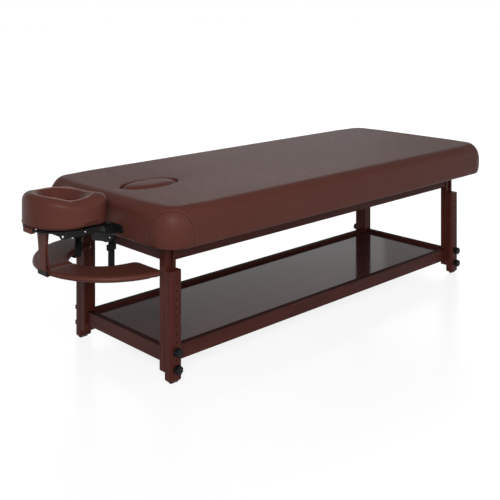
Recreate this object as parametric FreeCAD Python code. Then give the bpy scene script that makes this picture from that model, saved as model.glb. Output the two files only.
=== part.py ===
import FreeCAD, Part
import math
import os

os.makedirs("parts", exist_ok=True)

# Stationary massage table with a tilting face cradle and a hanging armrest.
# Millimetres, +Z up, head end towards -X. The origin lies on the floor under the middle of the whole
# object, cradle included, and the legs are at their lowest setting.

# Upholstered top
table_length = 1854.0
table_width = 762.0
table_height = 594.0
top_thickness = 131.0
corner_radius = 90.0
roll_radius = 38.0
lower_edge_radius = 12.0
wrap = 14.0
frame_height = 58.0
frame_rail = 20.0
deck_thickness = 12.0
seat_gap = 0.2

# Face hole and its plug
hole_length = 242.0
hole_width = 132.0
hole_from_head = 213.0
hole_edge_radius = 12.0
plug_gap = 2.5
plug_rise = 5.0
plug_edge_radius = 24.0
plug_ledge = 24.0

# Legs: a fixed post inside, a sliding extension outside
leg_inset = 85.0
leg_outer_width = 563.0
leg_width = 49.0
post_thickness = 30.0
post_floor_gap = 34.0
post_edge_radius = 4.0
extension_thickness = 30.0
extension_top = 366.0
extension_edge_radius = 9.0
extension_end_radius = 8.0
slide_gap = 0.3
groove_width = 18.0
groove_depth = 6.0
glide_thickness = 5.0
glide_inset = 1.0

# Height holes and clamping knobs
hole_count = 11
hole_pitch = 28.2
hole_top_margin = 36.8
hole_diameter = 7.0
upper_knob_hole = 8
lower_knob_hole = 10
bolt_diameter = 6.0
bolt_depth = 16.0
bolt_gap = 0.05
knob_diameter = 29.0
knob_depth = 17.0
knob_flutes = 8
flute_diameter = 7.0
knob_collar = 3.0
knob_collar_diameter = 17.0
knob_edge_radius = 2.5

# Apron, braces and storage shelf
board_thickness = 22.0
apron_drop = 73.0
brace_height = 60.0
brace_spacing = 560.0
board_edge_radius = 3.0
shelf_bottom = 55.5
shelf_rail_height = 50.0
shelf_recess = 12.0
shelf_thickness = 10.0
shelf_tongue = 7.0
shelf_tongue_thickness = 6.0
shelf_gap = 0.3

# Outrigger rods of the face cradle and their sockets
rod_diameter = 12.0
rod_spacing = 200.0
rod_below_top = 101.0
rod_gap = 0.05
rod_end_gap = 6.0
socket_wall = 3.0
socket_plate_length = 84.0
socket_plate_height = 28.0
socket_plate_depth = 4.0

# Cradle brackets, hinge shaft and locking lever
bracket_out = 6.0
bracket_length = 45.0
bracket_thickness = 24.0
bracket_height = 52.0
bracket_above_rod = 15.0
bracket_below_rod = 14.0
bracket_leg = 18.0
bracket_edge_radius = 3.0
peg_drop = 31.0
peg_diameter = 8.0
peg_length = 30.0
peg_cap = 12.0
peg_cap_depth = 2.0
hinge_out = 40.0
hinge_drop = 21.0
hinge_diameter = 8.0
hinge_head = 10.0
hinge_head_depth = 3.0
hinge_gap = 0.05
washer_gap = 0.3
lever_length = 69.0
lever_width = 28.0
lever_thickness = 3.0
lever_rise = 14.0

# Cradle platform: a horseshoe plate with two side flanges
sheet = 3.0
platform_below_top = 77.0
platform_inset = 4.0
flange_out = 105.0
flange_length = 118.0
flange_depth = 20.0
flange_chamfer = 7.0
flange_boss = 12.0
tie_rod_diameter = 8.0
tie_rod_in = 11.0
tie_rod_drop = 11.0
slot_length = 60.0
slot_width = 14.0
slot_margin = 7.0
hook_pad_thickness = 3.0
hook_pad_inset = 17.0
hook_pad_margin = 3.0

# Face cushion
face_gap = 38.0
face_length = 232.0
face_width = 270.0
face_head_thickness = 112.0
face_arm_thickness = 90.0
face_tip_thickness = 93.0
face_dip = 118.0
face_arm = 68.0
face_head_depth = 125.0
face_opening_depth = 58.0
face_end_wall = 56.0
face_corner_radius = 50.0
face_bowl = 30.0
face_roll_radius = 22.0
face_lower_radius = 8.0

# Hanging armrest
arm_drop = 129.0
arm_pad_thickness = 16.0
arm_board_thickness = 5.0
arm_length = 276.0
arm_width = 560.0
arm_cut_length = 163.0
arm_cut_margin = 28.0
arm_slit = 4.0
arm_corner_radius = 26.0
arm_edge_radius = 9.0
arm_board_inset = 20.0

# Straps that carry the armrest
loop_width = 46.0
loop_thickness = 2.2
loop_gap = 0.3
loop_back = 12.0
clasp_height = 13.0
clasp_width = 52.0
clasp_thickness = 7.0
clasp_lift = 7.0
web_width = 25.0
web_thickness = 2.0
web_tail = 52.0
buckle_width = 34.0
buckle_height = 20.0
buckle_thickness = 7.0
buckle_drop = 19.0
buckle_gap = 0.3

# Places that follow from the sizes above
cradle_reach = face_gap + face_length
centre_x = cradle_reach / 2
head_end = centre_x - table_length / 2
top_bottom = table_height - top_thickness
deck_bottom = top_bottom + frame_height
deck_top = deck_bottom + deck_thickness
apron_bottom = top_bottom - apron_drop
hole_x = head_end + hole_from_head
leg_x = table_length / 2 - leg_inset - leg_width / 2
extension_outer = leg_outer_width / 2
extension_inner = extension_outer - extension_thickness
post_outer = extension_inner - slide_gap
post_inner = post_outer - post_thickness
post_middle = (post_outer + post_inner) / 2
first_hole_z = extension_top - hole_top_margin
shelf_top = shelf_bottom + shelf_rail_height
panel_top = shelf_top - shelf_recess
rod_y = rod_spacing / 2
rod_z = table_height - rod_below_top
rod_radius = rod_diameter / 2
bracket_x = head_end - bracket_out
bracket_head_x = bracket_x - bracket_length
bracket_leg_x = bracket_head_x + bracket_leg
peg_z = rod_z - peg_drop
peg_radius = peg_diameter / 2
web_x = bracket_leg_x + (peg_length - peg_cap_depth) / 2
hinge_x = head_end - hinge_out
hinge_z = rod_z - hinge_drop
bracket_outer = rod_y + bracket_thickness / 2
flange_inner = bracket_outer + washer_gap
flange_outer = flange_inner + sheet
lever_inner = flange_outer + washer_gap
lever_outer = lever_inner + lever_thickness
flange_end_x = head_end - flange_out
flange_head_x = flange_end_x - flange_length
platform_height = table_height - platform_below_top
tie_x = flange_head_x + tie_rod_in
tie_z = platform_height - tie_rod_drop
plate_top = platform_height + sheet
pad_top = plate_top + hook_pad_thickness
face_tip_x = head_end - face_gap
face_centre_x = face_tip_x - face_length + face_head_depth
arm_edge_x = tie_x + arm_length
arm_top = tie_z - arm_drop
arm_pad_bottom = arm_top - arm_pad_thickness
arm_bottom = arm_pad_bottom - arm_board_thickness


def vec(x, y, z):
    return FreeCAD.Vector(x, y, z)


def box(x0, x1, y0, y1, z0, z1):
    return Part.makeBox(x1 - x0, y1 - y0, z1 - z0, vec(x0, y0, z0))


def bar(start, end, radius):
    run = end.sub(start)
    return Part.makeCylinder(radius, run.Length, start, run)


def save(node, shape):
    shape.exportStep(os.path.join("parts", node + ".step"))


def edges_along(shape, axis):
    """Straight edges that run along one axis."""
    found = []
    for edge in shape.Edges:
        ends = edge.Vertexes
        if len(ends) == 2:
            run = ends[1].Point.sub(ends[0].Point)
            if abs(edge.Length - abs(run.dot(axis))) < 1e-4:
                found.append(edge)
    return found


def edges_at(shape, level):
    """Edges that lie wholly at one height."""
    found = []
    for edge in shape.Edges:
        span = edge.BoundBox
        if abs(span.ZMin - level) < 1e-4 and abs(span.ZMax - level) < 1e-4:
            found.append(edge)
    return found


def oval_solid(x, depth, half_width, z0, z1):
    """An upright oval cylinder over the table's middle line, its depth along the table."""
    curve = Part.Ellipse(vec(0, 0, 0), max(depth, half_width), min(depth, half_width))
    solid = Part.Face(Part.Wire(curve.toShape())).extrude(vec(0, 0, z1 - z0))
    if depth < half_width:
        solid.rotate(vec(0, 0, 0), vec(0, 0, 1), 90)
    solid.translate(vec(x, 0, z0))
    return solid


def rounded_plate(length, width, radius, z0, z1):
    """A plate centred over the table with rounded corners."""
    x0 = centre_x - length / 2
    block = box(x0, x0 + length, -width / 2, width / 2, z0, z1)
    return block.makeFillet(radius, edges_along(block, vec(0, 0, 1)))


def oval(length, width, z0, z1):
    """An upright oval prism over the face hole."""
    curve = Part.Ellipse(vec(hole_x, 0, z0), length / 2, width / 2)
    face = Part.Face(Part.Wire(curve.toShape()))
    return face.extrude(vec(0, 0, z1 - z0))


def mirrored(shape):
    return shape.mirror(vec(0, 0, 0), vec(0, 1, 0))


# Upholstered top: a padded cap over a bent wood frame and its deck
def top_outline(inset, z0, z1):
    return rounded_plate(
        table_length - 2 * inset, table_width - 2 * inset, corner_radius - inset, z0, z1
    )


def socket_bores(radius, x0, x1):
    near = bar(vec(x0, -rod_y, rod_z), vec(x1, -rod_y, rod_z), radius)
    return near.fuse(mirrored(near))


socket_radius = rod_radius + rod_gap + socket_wall
socket_inner_x = head_end + leg_inset + (leg_width + board_thickness) / 2
bores = socket_bores(socket_radius + seat_gap, head_end - 1, socket_inner_x + 1)

top_cushion = top_outline(0, top_bottom, table_height)
top_cushion = top_cushion.makeFillet(roll_radius, edges_at(top_cushion, table_height))
top_cushion = top_cushion.makeFillet(lower_edge_radius, edges_at(top_cushion, top_bottom))
top_cushion = top_cushion.cut(top_outline(wrap, top_bottom - 1, deck_top))
hole_void = oval(hole_length, hole_width, deck_top - 1, table_height + 1)
top_cushion = top_cushion.cut(hole_void)
top_cushion = top_cushion.makeFillet(
    hole_edge_radius,
    [e for e in edges_at(top_cushion, table_height) if e.BoundBox.XLength < hole_length + 1],
)
save("top_cushion", top_cushion.cut(bores))

deck_panel = top_outline(wrap + seat_gap, deck_bottom, deck_top)
deck_panel = deck_panel.cut(
    oval(hole_length - 2 * plug_ledge, hole_width - 2 * plug_ledge, deck_bottom - 1, deck_top + 1)
)
save("deck_panel", deck_panel)

frame_ring = top_outline(wrap + seat_gap, top_bottom, deck_bottom)
frame_ring = frame_ring.cut(top_outline(wrap + frame_rail, top_bottom - 1, deck_bottom + 1))
frame_ring = frame_ring.cut(bores)
straight_x = table_length / 2 - corner_radius
straight_y = table_width / 2 + 1
low_x = centre_x - straight_x
high_x = centre_x + straight_x
end_reach = corner_radius + 1
save("top_rail_near", frame_ring.common(box(low_x, high_x, -straight_y, 0, top_bottom, deck_bottom)))
save("top_rail_far", frame_ring.common(box(low_x, high_x, 0, straight_y, top_bottom, deck_bottom)))
save(
    "top_rail_head",
    frame_ring.common(box(low_x - end_reach, low_x, -straight_y, straight_y, top_bottom, deck_bottom)),
)
save(
    "top_rail_foot",
    frame_ring.common(box(high_x, high_x + end_reach, -straight_y, straight_y, top_bottom, deck_bottom)),
)

# Face hole plug: sits on the ledge that the deck leaves, with a crowned top
plug = oval(hole_length - 2 * plug_gap, hole_width - 2 * plug_gap, deck_top, table_height + plug_rise)
plug = plug.makeFillet(plug_edge_radius, edges_at(plug, table_height + plug_rise))
save("face_hole_plug", plug)


# Legs
def hole_z(index):
    return first_hole_z - index * hole_pitch


def leg_post(x):
    """The fixed near-side post: a groove in its outer face guides the extension."""
    x0 = x - leg_width / 2
    post = box(x0, x0 + leg_width, -post_outer, -post_inner, post_floor_gap, deck_bottom)
    post = post.makeFillet(post_edge_radius, edges_along(post, vec(0, 0, 1)))
    groove = box(
        x - groove_width / 2,
        x + groove_width / 2,
        -post_outer - 1,
        -post_outer + groove_depth,
        post_floor_gap - 1,
        top_bottom,
    )
    post = post.cut(groove)
    floor_y = -post_outer + groove_depth
    for index in (upper_knob_hole, lower_knob_hole):
        z = hole_z(index)
        end_y = floor_y + bolt_depth + 1
        post = post.cut(bar(vec(x, floor_y - 1, z), vec(x, end_y, z), bolt_diameter / 2 + bolt_gap))
    return post


def leg_extension(x):
    """The near-side extension: a tongue on its inner face and a row of height holes."""
    x0 = x - leg_width / 2
    body = box(x0, x0 + leg_width, -extension_outer, -extension_inner, glide_thickness, extension_top)
    outer_edges = [e for e in edges_along(body, vec(0, 0, 1)) if e.BoundBox.YMax < -extension_inner - 1]
    body = body.makeFillet(extension_edge_radius, outer_edges)
    body = body.makeFillet(extension_end_radius, edges_at(body, glide_thickness))
    tongue_half = groove_width / 2 - slide_gap
    tongue_y = -extension_inner + groove_depth
    tongue = box(
        x - tongue_half,
        x + tongue_half,
        -extension_inner - 1,
        tongue_y,
        post_floor_gap,
        extension_top,
    )
    body = body.fuse(tongue).removeSplitter()
    for index in range(hole_count):
        z = hole_z(index)
        body = body.cut(bar(vec(x, -extension_outer - 1, z), vec(x, tongue_y + 1, z), hole_diameter / 2))
    return body


def foot_glide(x):
    """A thin pad under the extension."""
    reach = leg_width / 2 - glide_inset - extension_end_radius
    y0 = -extension_outer + glide_inset + extension_end_radius
    y1 = -extension_inner - glide_inset - extension_end_radius
    return box(x - reach, x + reach, y0, y1, 0, glide_thickness)


def clamp_knob(x, index):
    """A fluted hand knob on a bolt that reaches through the extension into the post."""
    z = hole_z(index)
    collar_y = -extension_outer - knob_collar
    outer_y = collar_y - knob_depth
    grip = bar(vec(x, outer_y, z), vec(x, collar_y, z), knob_diameter / 2)
    rim = [e for e in grip.Edges if abs(e.BoundBox.YMax - outer_y) < 1e-4]
    grip = grip.makeFillet(knob_edge_radius, rim)
    for step in range(knob_flutes):
        angle = 2 * math.pi * step / knob_flutes
        fx = x + math.cos(angle) * knob_diameter / 2
        fz = z + math.sin(angle) * knob_diameter / 2
        grip = grip.cut(bar(vec(fx, outer_y - 1, fz), vec(fx, collar_y + 1, fz), flute_diameter / 2))
    collar = bar(vec(x, collar_y, z), vec(x, -extension_outer, z), knob_collar_diameter / 2)
    bolt_end = -post_outer + groove_depth + bolt_depth
    bolt = bar(vec(x, collar_y, z), vec(x, bolt_end, z), bolt_diameter / 2)
    return grip.fuse([collar, bolt]).removeSplitter()


for end, x in (("head", centre_x - leg_x), ("foot", centre_x + leg_x)):
    near_pieces = {
        "leg_post": leg_post(x),
        "leg_extension": leg_extension(x),
        "foot_glide": foot_glide(x),
        "upper_knob": clamp_knob(x, upper_knob_hole),
        "lower_knob": clamp_knob(x, lower_knob_hole),
    }
    for name, piece in near_pieces.items():
        save(name + "_" + end + "_near", piece)
        save(name + "_" + end + "_far", mirrored(piece))

# Apron boards between the posts, with braces across the middle
span_x = leg_x - leg_width / 2
half_board = board_thickness / 2


def softened(board, axis):
    """Rounds the long lower edges of a board."""
    low = [e for e in edges_along(board, axis) if e.BoundBox.ZMax < board.BoundBox.ZMin + 1e-4]
    return board.makeFillet(board_edge_radius, low)


def side_board(z0, z1):
    board = box(
        centre_x - span_x, centre_x + span_x, -post_middle - half_board, -post_middle + half_board, z0, z1
    )
    return softened(board, vec(1, 0, 0))


def end_board(x, z0, z1):
    board = box(x - half_board, x + half_board, -post_inner, post_inner, z0, z1)
    return softened(board, vec(0, 1, 0))


apron_near = side_board(apron_bottom, deck_bottom)
save("apron_near", apron_near)
save("apron_far", mirrored(apron_near))
save("apron_head", end_board(centre_x - leg_x, apron_bottom, deck_bottom).cut(bores))
save("apron_foot", end_board(centre_x + leg_x, apron_bottom, deck_bottom))
brace_y = post_middle - half_board
for name, x in (("head", centre_x - brace_spacing / 2), ("foot", centre_x + brace_spacing / 2)):
    brace = box(x - half_board, x + half_board, -brace_y, brace_y, deck_bottom - brace_height, deck_bottom)
    save("brace_" + name, brace)

# Storage shelf: a panel whose thinner tongue is let into grooves round four rails
panel_bottom = panel_top - shelf_thickness
tongue_top = panel_bottom + shelf_tongue_thickness


def shelf_sheet(reach, z0, z1):
    """A sheet that reaches past the inner faces of the shelf rails, or stops short of them."""
    half_x = leg_x - half_board + reach
    half_y = post_middle - half_board + reach
    return box(centre_x - half_x, centre_x + half_x, -half_y, half_y, z0, z1)


groove = shelf_sheet(shelf_tongue + shelf_gap, panel_bottom, tongue_top + shelf_gap)
panel = shelf_sheet(-shelf_gap, panel_bottom, panel_top)
panel = panel.fuse(shelf_sheet(shelf_tongue, panel_bottom, tongue_top)).removeSplitter()
for sx in (-1, 1):
    for sy in (-1, 1):
        corner_x = centre_x + sx * leg_x
        notch_x = leg_width / 2 + shelf_gap
        y0, y1 = sorted((sy * (post_inner - shelf_gap), sy * (post_outer + 1)))
        panel = panel.cut(box(corner_x - notch_x, corner_x + notch_x, y0, y1, panel_bottom, panel_top))
save("shelf_panel", panel)
rail_near = side_board(shelf_bottom, shelf_top).cut(groove)
save("shelf_rail_near", rail_near)
save("shelf_rail_far", mirrored(rail_near))
save("shelf_rail_head", end_board(centre_x - leg_x, shelf_bottom, shelf_top).cut(groove))
save("shelf_rail_foot", end_board(centre_x + leg_x, shelf_bottom, shelf_top).cut(groove))


# Sockets and outrigger rods
def rod_socket():
    """An oblong plate with a tube through the padding, the head rail and the head apron."""
    plate_x = head_end - socket_plate_depth
    radius = socket_plate_height / 2
    reach = socket_plate_length / 2 - radius
    plate = box(plate_x, head_end, -rod_y - reach, -rod_y + reach, rod_z - radius, rod_z + radius)
    for side in (-1, 1):
        y = -rod_y + side * reach
        plate = plate.fuse(bar(vec(plate_x, y, rod_z), vec(head_end, y, rod_z), radius))
    plate = plate.removeSplitter()
    rim = [e for e in plate.Edges if abs(e.BoundBox.XMax - plate_x) < 1e-4]
    plate = plate.makeFillet(socket_plate_depth / 2, rim)
    tube = bar(vec(head_end, -rod_y, rod_z), vec(socket_inner_x, -rod_y, rod_z), socket_radius)
    bore = bar(
        vec(plate_x - 1, -rod_y, rod_z), vec(socket_inner_x + 1, -rod_y, rod_z), rod_radius + rod_gap
    )
    return plate.fuse(tube).cut(bore)


def outrigger_rod():
    seat_x = bracket_x - bracket_length / 2
    return bar(vec(seat_x, -rod_y, rod_z), vec(socket_inner_x - rod_end_gap, -rod_y, rod_z), rod_radius)


def cradle_bracket():
    """A cast elbow that joins a rod to the hinge shaft, with a peg for a strap."""
    top = rod_z + bracket_above_rod
    arm_low = rod_z - bracket_below_rod
    low = top - bracket_height
    y = -bracket_outer
    outline = [
        vec(bracket_head_x, y, top),
        vec(bracket_x, y, top),
        vec(bracket_x, y, arm_low),
        vec(bracket_leg_x, y, arm_low),
        vec(bracket_leg_x, y, low),
        vec(bracket_head_x, y, low),
    ]
    outline.append(outline[0])
    elbow = Part.Face(Part.makePolygon(outline)).extrude(vec(0, bracket_thickness, 0))
    elbow = elbow.makeFillet(bracket_edge_radius, edges_along(elbow, vec(0, 1, 0)))
    peg_end = bracket_leg_x + peg_length
    peg = bar(vec(bracket_leg_x - 1, -rod_y, peg_z), vec(peg_end, -rod_y, peg_z), peg_radius)
    cap = bar(vec(peg_end - peg_cap_depth, -rod_y, peg_z), vec(peg_end, -rod_y, peg_z), peg_cap / 2)
    seat_x = bracket_x - bracket_length / 2
    seat = bar(vec(seat_x, -rod_y, rod_z), vec(bracket_x + 1, -rod_y, rod_z), rod_radius + rod_gap)
    shaft_hole = bar(
        vec(hinge_x, -bracket_outer - 1, hinge_z),
        vec(hinge_x, -bracket_outer + bracket_thickness + 1, hinge_z),
        hinge_diameter / 2 + rod_gap,
    )
    return elbow.fuse([peg, cap]).cut(seat).cut(shaft_hole)


for name, piece in (
    ("rod_socket", rod_socket()),
    ("outrigger_rod", outrigger_rod()),
    ("cradle_bracket", cradle_bracket()),
):
    save(name + "_near", piece)
    save(name + "_far", mirrored(piece))

# Hinge shaft with a rivet head at each end, and the cam lever that locks it
shaft_end = lever_outer + washer_gap
shaft = bar(vec(hinge_x, -shaft_end, hinge_z), vec(hinge_x, shaft_end, hinge_z), hinge_diameter / 2)
rivet = bar(
    vec(hinge_x, -shaft_end - hinge_head_depth, hinge_z), vec(hinge_x, -shaft_end, hinge_z), hinge_head / 2
)
rivet_rim = [e for e in rivet.Edges if e.BoundBox.YMax < -shaft_end - hinge_head_depth + 1e-4]
rivet = rivet.makeFillet(hinge_head_depth / 2, rivet_rim)
save("hinge_shaft", shaft.fuse([rivet, mirrored(rivet)]))


def link_plate(points, y0, thickness, bore):
    """A flat link lying in an upright plane: round ends at two points, wide as their radii."""
    discs = []
    for x, z, radius in points:
        discs.append(bar(vec(x, y0, z), vec(x, y0 + thickness, z), radius))
    (xa, za, ra), (xb, zb, rb) = points
    run = math.hypot(xb - xa, zb - za)
    heading = math.atan2(zb - za, xb - xa)
    lean = math.acos((ra - rb) / run)
    corners = []
    for x, z, radius, side in ((xa, za, ra, 1), (xb, zb, rb, 1), (xb, zb, rb, -1), (xa, za, ra, -1)):
        angle = heading + side * lean
        corners.append(vec(x + radius * math.cos(angle), y0, z + radius * math.sin(angle)))
    corners.append(corners[0])
    web = Part.Face(Part.makePolygon(corners)).extrude(vec(0, thickness, 0))
    hole = bar(vec(xa, y0 - 1, za), vec(xa, y0 + thickness + 1, za), bore)
    return discs[0].fuse([discs[1], web]).removeSplitter().cut(hole)


lever_tip_x = hinge_x - lever_length + lever_width / 2
lever = link_plate(
    ((hinge_x, hinge_z, lever_width / 2), (lever_tip_x, hinge_z + lever_rise, lever_width / 2 - 1)),
    -lever_outer,
    lever_thickness,
    hinge_diameter / 2 + hinge_gap,
)
save("cam_lever", lever)


# Horseshoe outline shared by the platform and its hook pad
def horseshoe(inset, z0, z1):
    """A U-shaped plate, open to the table, its arms rounded at their ends."""
    outer = face_width / 2 - inset
    inner = face_width / 2 - face_arm + inset
    head = face_head_depth - inset
    bowl = face_opening_depth + inset
    tip = (outer - inner) / 2
    tip_x = face_tip_x - face_arm / 2
    middle = (outer + inner) / 2
    normal = vec(0, 0, 1)
    tall = vec(face_centre_x, 0, z0)

    def half_oval(depth, half_width):
        reach = vec(face_centre_x - depth, 0, z0)
        side = vec(face_centre_x, half_width, z0)
        if depth > half_width:
            return Part.Ellipse(reach, side, tall)
        return Part.Ellipse(side, reach, tall)

    def head_arc(depth, half_width):
        curve = half_oval(depth, half_width)
        start = curve.parameter(vec(face_centre_x, half_width, z0))
        end = curve.parameter(vec(face_centre_x, -half_width, z0))
        arc = Part.ArcOfEllipse(curve, min(start, end), max(start, end))
        if arc.value((arc.FirstParameter + arc.LastParameter) / 2).x > face_centre_x:
            arc = Part.ArcOfEllipse(curve, max(start, end), min(start, end) + 2 * math.pi)
        return arc.toShape()

    edges = [head_arc(head, outer), head_arc(bowl, inner)]
    for side in (1, -1):
        end = vec(tip_x + tip, side * middle, z0)
        edges.append(Part.makeLine(vec(face_centre_x, side * outer, z0), vec(tip_x, side * outer, z0)))
        edges.append(Part.makeLine(vec(face_centre_x, side * inner, z0), vec(tip_x, side * inner, z0)))
        edges.append(
            Part.Arc(vec(tip_x, side * outer, z0), end, vec(tip_x, side * inner, z0)).toShape()
        )
    wire = Part.Wire(Part.__sortEdges__(edges))
    return Part.Face(wire).extrude(normal * (z1 - z0))


# Platform: the plate, two side flanges that reach back to the hinge, and a strap slot at the head
def side_flange():
    """One upright flange with its neck and hinge boss."""
    low = platform_height - flange_depth
    outline = [
        vec(flange_head_x, -flange_outer, platform_height),
        vec(flange_head_x, -flange_outer, low + flange_chamfer),
        vec(flange_head_x + flange_chamfer, -flange_outer, low),
        vec(flange_end_x, -flange_outer, low),
        vec(hinge_x, -flange_outer, hinge_z - flange_boss),
        vec(hinge_x, -flange_outer, hinge_z + flange_boss),
        vec(flange_end_x, -flange_outer, platform_height),
    ]
    outline.append(outline[0])
    flange = Part.Face(Part.makePolygon(outline)).extrude(vec(0, sheet, 0))
    boss = bar(vec(hinge_x, -flange_outer, hinge_z), vec(hinge_x, -flange_inner, hinge_z), flange_boss)
    flange = flange.fuse(boss)
    past = sheet + 1
    hinge_hole = bar(
        vec(hinge_x, -flange_outer - past, hinge_z),
        vec(hinge_x, -flange_inner + past, hinge_z),
        hinge_diameter / 2 + hinge_gap,
    )
    tie_hole = bar(
        vec(tie_x, -flange_outer - past, tie_z),
        vec(tie_x, -flange_inner + past, tie_z),
        tie_rod_diameter / 2 + hinge_gap,
    )
    return flange.cut(hinge_hole).cut(tie_hole)


plate_head_x = face_centre_x - face_head_depth + platform_inset
slot_x = plate_head_x + slot_margin
strap_slot = box(
    slot_x, slot_x + slot_width, -slot_length / 2, slot_length / 2, platform_height - 1, plate_top + 1
)
strap_slot = strap_slot.makeFillet(slot_width / 2 - 1, edges_along(strap_slot, vec(0, 0, 1)))
plate = horseshoe(platform_inset, platform_height, plate_top)
near_flange = side_flange()
platform = plate.fuse([near_flange, mirrored(near_flange)]).cut(strap_slot)
save("cradle_platform", platform.removeSplitter())
save(
    "tie_rod",
    bar(vec(tie_x, -flange_outer, tie_z), vec(tie_x, flange_outer, tie_z), tie_rod_diameter / 2),
)
hook_pad = horseshoe(platform_inset + hook_pad_inset, plate_top, pad_top)
pad_notch = box(
    plate_head_x,
    slot_x + slot_width + hook_pad_margin,
    -slot_length / 2 - hook_pad_margin,
    slot_length / 2 + hook_pad_margin,
    plate_top,
    pad_top,
)
save("hook_pad", hook_pad.cut(pad_notch))

# Face cushion: a ring round an oval hole, squarer at the table, high over the forehead and low over
# the cheeks, with a rolled outer edge and a bowl that slopes to the hole
face_head_x = face_tip_x - face_length
face_side = face_width / 2 + 1
face_hole_side = face_width / 2 - face_arm
face_hole_end = face_tip_x - face_end_wall - face_centre_x
saddle_head = vec(face_head_x - 1, -face_side, pad_top + face_head_thickness)
saddle_low = vec(face_head_x + face_dip, -face_side, pad_top + face_arm_thickness)
saddle_tip = vec(face_tip_x + 1, -face_side, pad_top + face_tip_thickness)
block_top = max(saddle_head.z, saddle_tip.z) + 1
rim = [
    saddle_tip,
    vec(saddle_tip.x, -face_side, block_top),
    vec(saddle_head.x, -face_side, block_top),
    saddle_head,
]
saddle_edges = [Part.Arc(saddle_head, saddle_low, saddle_tip).toShape()]
saddle_edges += [Part.makeLine(a, b) for a, b in zip(rim, rim[1:])]
saddle = Part.Face(Part.Wire(saddle_edges)).extrude(vec(0, 2 * face_side, 0))
head_side = box(face_head_x - 1, face_centre_x, -face_side, face_side, pad_top, block_top)
table_side = box(face_centre_x, face_tip_x, -face_width / 2, face_width / 2, pad_top, block_top)


def upper_rims(shape):
    """The edges round the top of the cushion: the outer ones and those of the hole."""
    outer = []
    inner = []
    for edge in shape.Edges:
        span = edge.BoundBox
        if span.ZMin > pad_top + face_lower_radius:
            at_hole = max(span.YMax, -span.YMin) < face_hole_side + 1
            (inner if at_hole else outer).append(edge)
    return outer, inner


def head_half(depth, half_width):
    return oval_solid(face_centre_x, depth, half_width, pad_top, block_top).common(head_side)


block = head_half(face_head_depth, face_width / 2).fuse(table_side).removeSplitter()
block_corners = [e for e in edges_along(block, vec(0, 0, 1)) if e.BoundBox.XMax > face_tip_x - 1]
block = block.makeFillet(face_corner_radius, block_corners)
face_hole = oval_solid(face_centre_x, face_hole_end, face_hole_side, pad_top, block_top).common(table_side)
face_hole = face_hole.fuse(head_half(face_opening_depth, face_hole_side)).removeSplitter()
face_cushion = block.cut(face_hole).cut(saddle)
face_cushion = face_cushion.makeFillet(face_roll_radius, upper_rims(face_cushion)[0])
face_cushion = face_cushion.makeChamfer(face_bowl, upper_rims(face_cushion)[1])
face_cushion = face_cushion.makeFillet(face_lower_radius, edges_at(face_cushion, pad_top))
save("face_cushion", face_cushion)


# Armrest: a crescent board with a padded wing on each side of a slit
def crescent(inset, z0, z1):
    """A half oval with a half-oval cut towards the table."""
    outer = oval_solid(arm_edge_x, arm_length - inset, arm_width / 2 - inset, z0, z1)
    reach = arm_length + 1
    outer = outer.common(box(arm_edge_x - reach, arm_edge_x - inset, -arm_width, arm_width, z0, z1))
    cut_width = rod_y + arm_cut_margin + inset
    solid = outer.cut(oval_solid(arm_edge_x, arm_cut_length + inset, cut_width, z0, z1))
    return solid.makeFillet(arm_corner_radius, edges_along(solid, vec(0, 0, 1)))


loop_radius = tie_rod_diameter / 2 + loop_gap + loop_thickness
clasp_x = arm_edge_x - arm_length - loop_gap - clasp_thickness / 2
loop_head_x = clasp_x - loop_thickness / 2
loop_back_x = tie_x + loop_back
loop_low_z = arm_bottom - loop_gap
loop_cut = box(
    loop_back_x - loop_thickness - 2 * loop_gap,
    loop_back_x + loop_gap,
    -loop_width / 2 - loop_gap,
    loop_width / 2 + loop_gap,
    arm_bottom - 1,
    arm_top + 1,
)
board = crescent(arm_board_inset, arm_bottom, arm_pad_bottom)
save("armrest_board", board.cut(loop_cut))
pads = crescent(0, arm_pad_bottom, arm_top)
pads = pads.makeFillet(arm_edge_radius, edges_at(pads, arm_top))
pads = pads.cut(loop_cut)
reach = arm_length + 1
near_half = box(arm_edge_x - reach, arm_edge_x + 1, -arm_width, -arm_slit / 2, arm_pad_bottom, arm_top)
pad_near = pads.common(near_half)
save("armrest_pad_near", pad_near)
save("armrest_pad_far", mirrored(pad_near))


# Upholstery strap: a closed loop over the tie rod and under the head of the armrest
def loop_outline(shrink):
    radius = loop_radius - shrink
    x0 = loop_head_x + shrink
    x1 = loop_back_x - shrink
    z0 = loop_low_z - loop_thickness + shrink
    y = -loop_width / 2
    crown = Part.Arc(
        vec(tie_x - radius, y, tie_z), vec(tie_x, y, tie_z + radius), vec(tie_x + radius, y, tie_z)
    ).toShape()
    corners = [
        vec(tie_x + radius, y, tie_z),
        vec(x1, y, arm_top),
        vec(x1, y, z0),
        vec(x0, y, z0),
        vec(x0, y, arm_top),
        vec(tie_x - radius, y, tie_z),
    ]
    lines = [Part.makeLine(a, b) for a, b in zip(corners, corners[1:])]
    return Part.Face(Part.Wire([crown] + lines)).extrude(vec(0, loop_width, 0))


save("armrest_strap", loop_outline(0).cut(loop_outline(loop_thickness)))
clasp_low = arm_bottom + clasp_lift
clasp = box(
    clasp_x - clasp_thickness / 2,
    clasp_x + clasp_thickness / 2,
    -clasp_width / 2,
    clasp_width / 2,
    clasp_low,
    clasp_low + clasp_height,
)
clasp = clasp.makeFillet(clasp_thickness / 3, edges_along(clasp, vec(1, 0, 0)))
clasp_slot = box(
    clasp_x - loop_thickness / 2 - loop_gap,
    clasp_x + loop_thickness / 2 + loop_gap,
    -loop_width / 2 - loop_gap,
    loop_width / 2 + loop_gap,
    clasp_low - 1,
    clasp_low + clasp_height + 1,
)
save("strap_clasp", clasp.cut(clasp_slot))


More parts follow.
